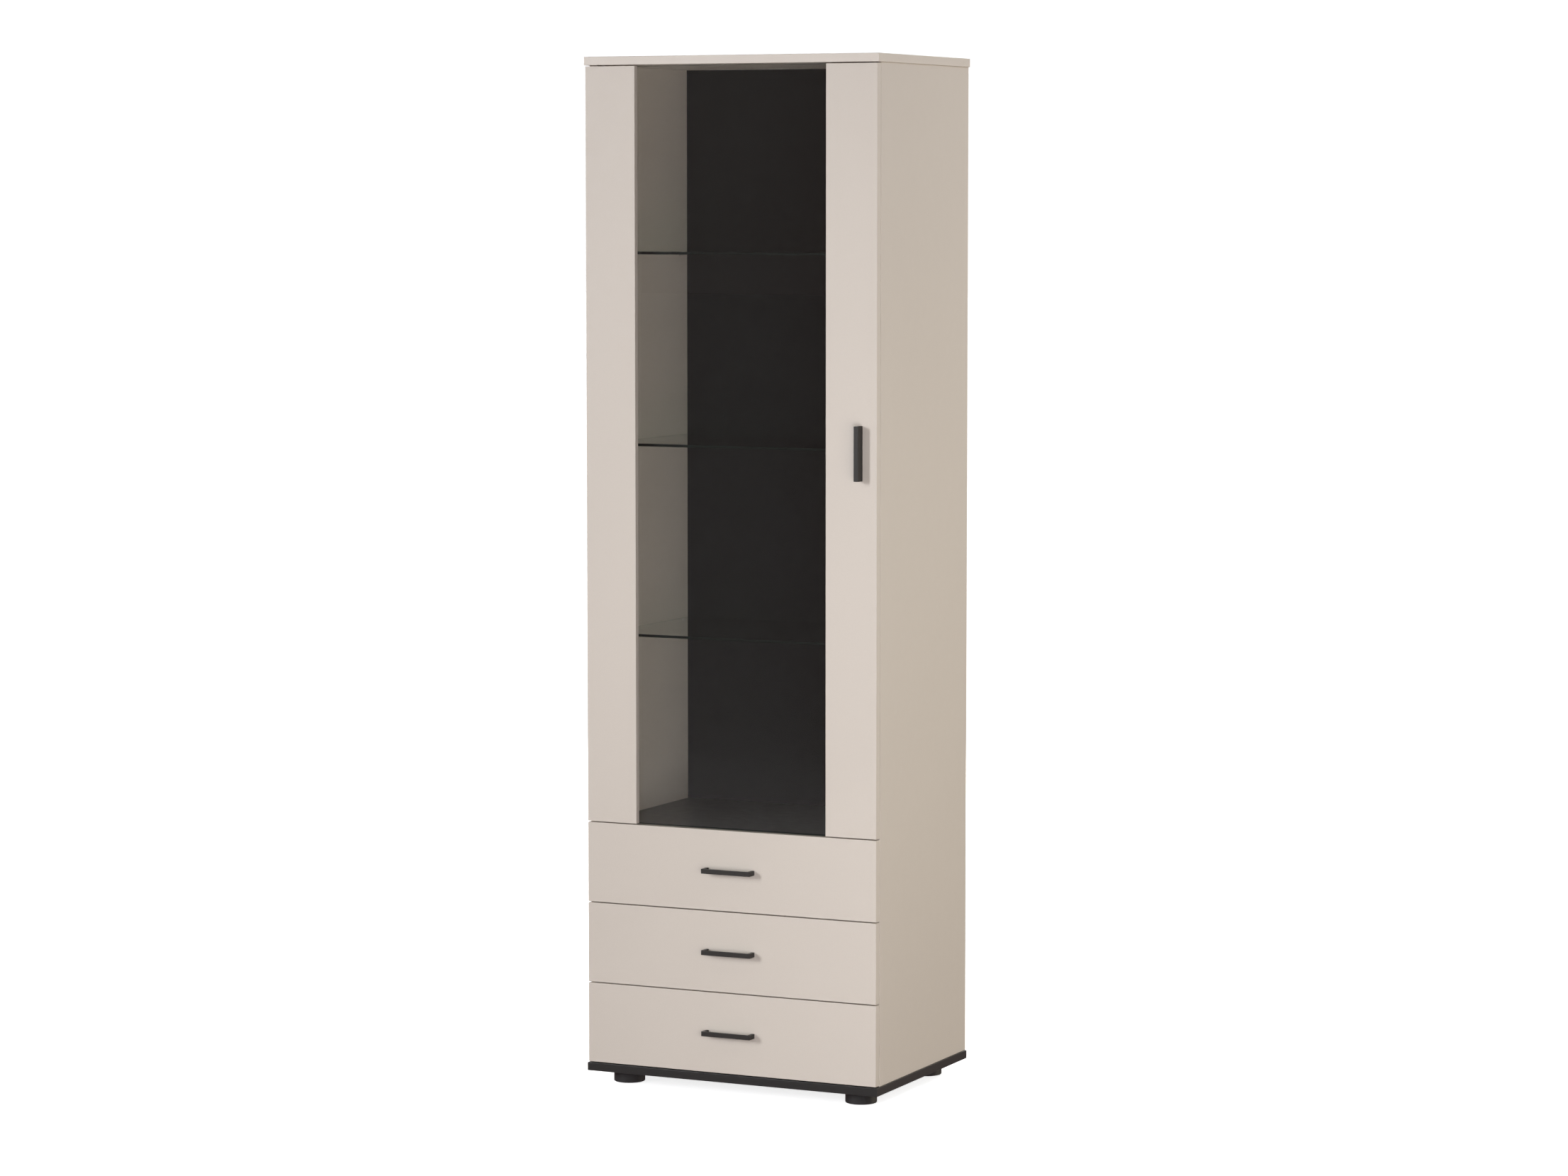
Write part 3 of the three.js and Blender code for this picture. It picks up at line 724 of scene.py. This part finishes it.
def handle_screws():
    """Two screws for each handle, put in from the back of the board that it stands on."""
    head = screw_mesh("handle")
    for word in DRAWERS:
        low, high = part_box(f"drawer_{word}_handle")
        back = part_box(f"drawer_{word}_front")[1].y
        z = middle(low.z, high.z)
        places = [((x, back, z), REAR) for x in either_side(HANDLE_SCREWS_APART)]
        screws(f"drawer_{word}_handle_screws", head, places, f"drawer_{word}")
    low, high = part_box("door_handle")
    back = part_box("door_stile_right")[1].y
    x, z = middle(low.x, high.x), middle(low.z, high.z)
    places = [((x, back, z + up), REAR) for up in either_side(HANDLE_SCREWS_APART)]
    screws("door_handle_screws", head, places, "door")


def box_screws():
    """Screws through each box side into the drawer's back board."""
    head = screw_mesh("box")
    for word in DRAWERS:
        low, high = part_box(f"drawer_{word}_back")
        y = middle(low.y, high.y)
        places = []
        for side, sign in SIDES.items():
            x = outer_x(f"drawer_{word}_side_{side}", sign)
            places += [((x, y, low.z + up), (sign, 0, 0)) for up in BOX_SCREWS_UP]
        screws(f"drawer_{word}_box_screws", head, places, f"drawer_{word}")


def bumpers():
    """Clear dots on the side panels' front edges that the fronts close against."""
    outline = [(0, 0), (4.0, 0), (3.9, 0.5), (3.2, 0.9), (1.8, 1.2), (0, 1.3)]
    dome = to_mesh(lathe(in_mm(outline), BUMPER_SEGMENTS), "bumper")
    edge_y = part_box("side_panel_right")[0].y
    places = []
    for side, sign in SIDES.items():
        low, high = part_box(f"side_panel_{side}")
        x = middle(low.x, high.x)
        heights = [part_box(f"drawer_{word}_front")[1].z - BUMPER_BELOW_TOP for word in DRAWERS]
        if side == "right":
            door_low, door_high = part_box("door_stile_right")
            heights += [door_low.z + BUMPER_FROM_END, door_high.z - BUMPER_FROM_END]
        places += [((x, edge_y, z), FRONT) for z in heights]
    fitting_set("bumpers", dome, places, "cabinet", "clear_glass", "soft_clear")


# ---------------------------------------------------------------- studio

CAMERA_PLACE = (3.7228, -7.8138, 1.7077)
CAMERA_TURN = math.radians(25.374)
CAMERA_TILT = math.radians(-4.999)
LENS = 104.145
SENSOR_WIDTH = 36.0               # both in millimetres


def camera():
    data = bpy.data.cameras.new("camera")
    data.lens = LENS
    data.sensor_width = SENSOR_WIDTH
    obj = add_object("camera", data)
    obj.location = CAMERA_PLACE
    obj.rotation_euler = (math.pi / 2 + CAMERA_TILT, 0, CAMERA_TURN)
    bpy.context.scene.camera = obj


FLOOR_HALF = 60.0
FLOOR_PAPER = (0.9, 0.9, 0.9)
GLOW_REACH = (0.5, 3.0)           # the floor brightens between these distances from the cabinet's middle
GLOW_NEAR = 0.78
GLOW_FAR = 1.05
WHITE = (1, 1, 1, 1)


def floor():
    """A pale floor that takes soft shadows and glows towards white, seen only by the camera."""
    s = Shader("floor_paper")
    away = s.add("VectorMath", {0: s.stretched((1, 1, 0))}, operation="LENGTH").outputs["Value"]
    glow = s.times(s.remap(away, GLOW_NEAR, GLOW_FAR, GLOW_REACH), s.seen_straight())
    paper = s.add("BsdfDiffuse", {"Color": s.scaled(FLOOR_PAPER, s.remap(s.noise(1.5), 0.995, 1.005))})
    light = s.add("Emission", {"Color": WHITE, "Strength": glow})
    both = s.add("AddShader", {0: paper.outputs[0], 1: light.outputs[0]})
    mesh = bpy.data.meshes.new("floor")
    corners = [(-1, -1), (1, -1), (1, 1), (-1, 1)]
    mesh.from_pydata([(x * FLOOR_HALF, y * FLOOR_HALF, 0) for x, y in corners], [], [(0, 1, 2, 3)])
    obj = add_object("floor", mesh)
    obj.data.materials.append(s.finish(both.outputs[0]))
    obj.visible_glossy = False
    obj.visible_diffuse = False


SOFTBOXES = {
    # name: (place, width, height, watts, colour)
    "front_fill": ((0.36, -3.38, 0.5), 1.6, 1.6, 6.0, (0.92, 1.0, 0.90)),
    "front_right": ((1.44, -3.08, 0.5), 1.6, 1.6, 50.0, (0.88, 0.91, 1.0)),
    "right": ((2.6, -2.19, 0.5), 1.6, 1.6, 20.0, (1.0, 0.92, 0.79)),
    "side_rear_low": ((2.94, 1.7, 0.5), 1.6, 1.6, 35.0, (1.0, 0.96, 0.76)),
    "side_rear": ((2.94, 1.7, 2.6), 1.6, 1.6, 25.0, (0.96, 0.96, 0.97)),
    "side_rear_high": ((2.94, 1.7, 3.8), 1.6, 1.6, 37.0, (0.72, 0.82, 0.95)),
    "left": ((-4.2, 0.6, 1.9), 2.2, 2.2, 95.0, (1.0, 0.99, 0.97)),
    "rear": ((-1.2, 4.8, 2.3), 2.4, 2.4, 170.0, (1.0, 0.99, 0.97)),
    "top": ((-0.4, 1.4, 4.6), 2.0, 2.0, 16.0, (1.0, 1.0, 1.0)),
}
AIM_POINT = (0, 0, 1.1)
# The door glass would mirror these in views from the left.
UNMIRRORED = ("front_fill", "front_right", "right")

# The key is a tall strip with a grid on it, aimed low and past the right edge, so that its light fades
# to the left and the top.
KEY_PLACE = (-3.7, -5.8, 2.6)
KEY_AIM = (0.5, -0.2, 0.6)
KEY_WIDTH = 0.8
KEY_HEIGHT = 2.6
KEY_WATTS = 27.5
KEY_COLOUR = (0.96, 0.98, 1.0)
KEY_SPREAD = math.radians(60)


def softbox(name, place, width, height, watts, colour, aim_at=AIM_POINT, spread=math.pi):
    data = bpy.data.lights.new(name, "AREA")
    data.shape = "RECTANGLE"
    data.size = width
    data.size_y = height
    data.energy = watts
    data.color = colour
    data.spread = spread
    obj = add_object(name, data)
    obj.location = place
    obj.rotation_euler = (Vector(aim_at) - Vector(place)).to_track_quat("-Z", "Y").to_euler()
    obj.visible_glossy = name not in UNMIRRORED


def softboxes():
    for name, settings in SOFTBOXES.items():
        softbox(name, *settings)
    softbox("key", KEY_PLACE, KEY_WIDTH, KEY_HEIGHT, KEY_WATTS, KEY_COLOUR, KEY_AIM, KEY_SPREAD)


AMBIENT_ABOVE = (0.10, 0.08, 0.07, 1.0)
AMBIENT_BELOW = (0.15, 0.10, 0.10, 1.0)
HORIZON = (-0.25, 0.25)           # upward share of a ray's direction, from all below to all above
BACKDROP_STRENGTH = 1.05


def world():
    """White behind the object, and a dimmer soft room for its light and reflections."""
    s = Shader("studio", bpy.data.worlds, "OutputWorld")
    direction = s.add("TexCoord").outputs["Generated"]
    height = s.add("SeparateXYZ", {0: direction}).outputs[AXIS_Z]
    inputs = {"Value": height, "From Min": HORIZON[0], "From Max": HORIZON[1]}
    rise = s.add("MapRange", inputs, interpolation_type="SMOOTHSTEP").outputs[0]
    room = s.add("Background", {"Color": s.blend(rise, AMBIENT_BELOW, AMBIENT_ABOVE)}).outputs[0]
    white = s.add("Background", {"Color": WHITE, "Strength": BACKDROP_STRENGTH}).outputs[0]
    seen = s.add("MixShader", {0: s.seen_straight(), 1: room, 2: white}).outputs[0]
    bpy.context.scene.world = s.finish(seen)


# ---------------------------------------------------------------- build

finish_boards()
finish_glass("door_glass", "door_glass", AXIS_Y)
for level_name in LEVELS:
    finish_glass(f"glass_shelf_{level_name}", "shelf_glass", AXIS_Z)
finish_metal()
finish_feet()
shelf_pins()
runner_fittings()
hinge_fittings()
handle_screws()
box_screws()
bumpers()
camera()
floor()
softboxes()
world()
bpy.context.scene.view_settings.view_transform = "Standard"
